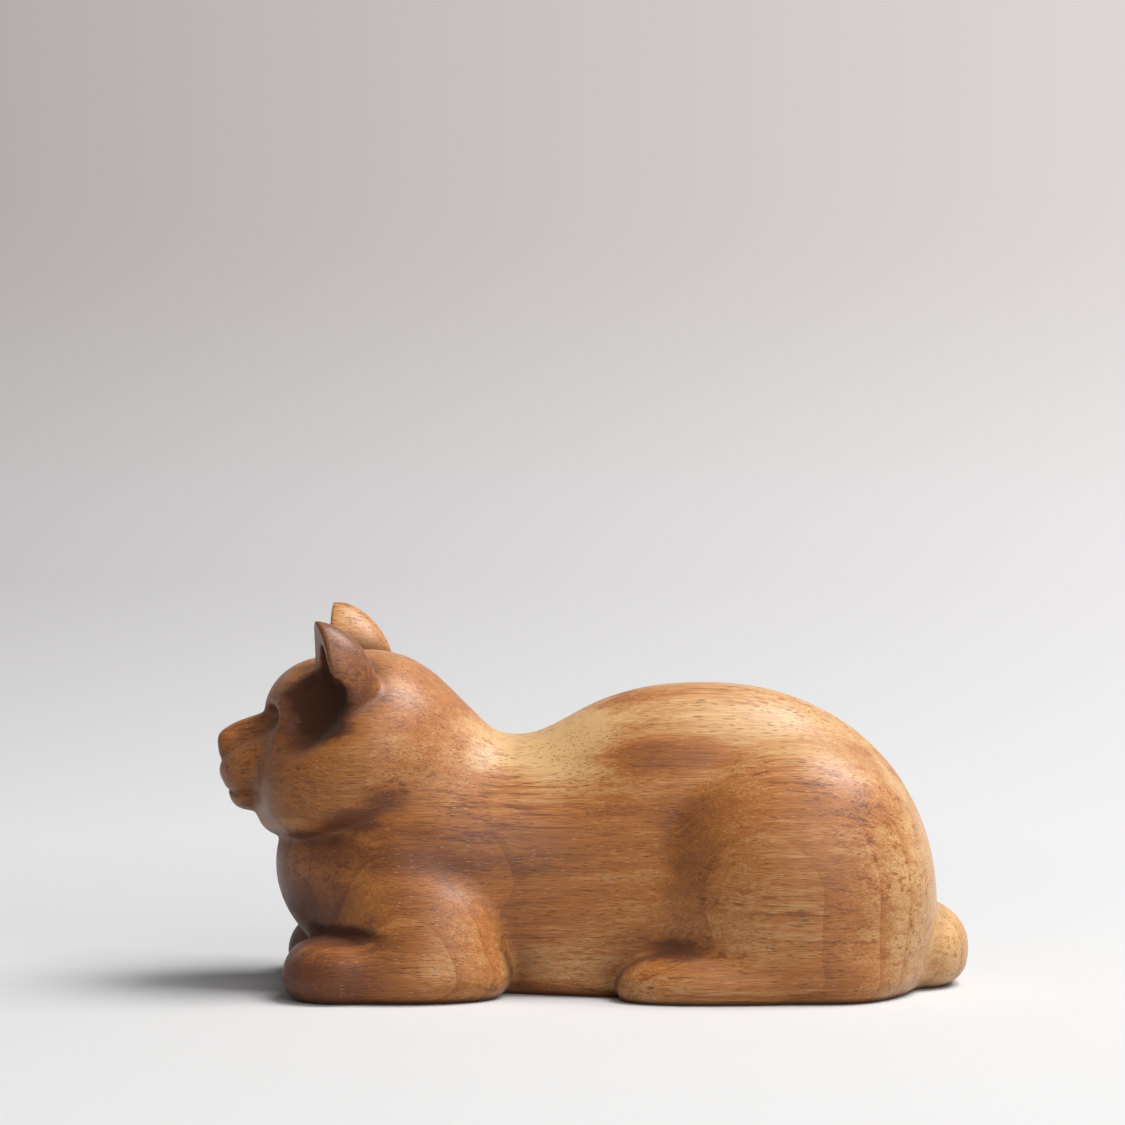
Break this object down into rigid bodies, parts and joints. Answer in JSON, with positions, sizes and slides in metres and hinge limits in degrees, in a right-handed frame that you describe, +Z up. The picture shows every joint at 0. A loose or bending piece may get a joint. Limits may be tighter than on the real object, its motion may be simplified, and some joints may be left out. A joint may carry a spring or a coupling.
{
  "type": "cat carving",
  "caption": "Lying cat carved from one block of oiled brown hardwood, with folded forelegs, pricked ears, a domed rump and a tail laid along the far flank, on a flat base.",
  "frame": {"origin": "on the flat base, under the middle of the object's box", "axes": "the nose points to -X, +Z is up, the cat's left flank faces -Y and its tail lies on the +Y side"},
  "size_m": [0.1501, 0.0574, 0.0763],
  "materials": {
    "oiled_hardwood": "brown hardwood sanded smooth and oiled or waxed to a soft satin sheen, grain running from nose to tail"
  },
  "bodies": {
    "root": {"carved_cat": "oiled_hardwood"}
  },
  "joints": []
}
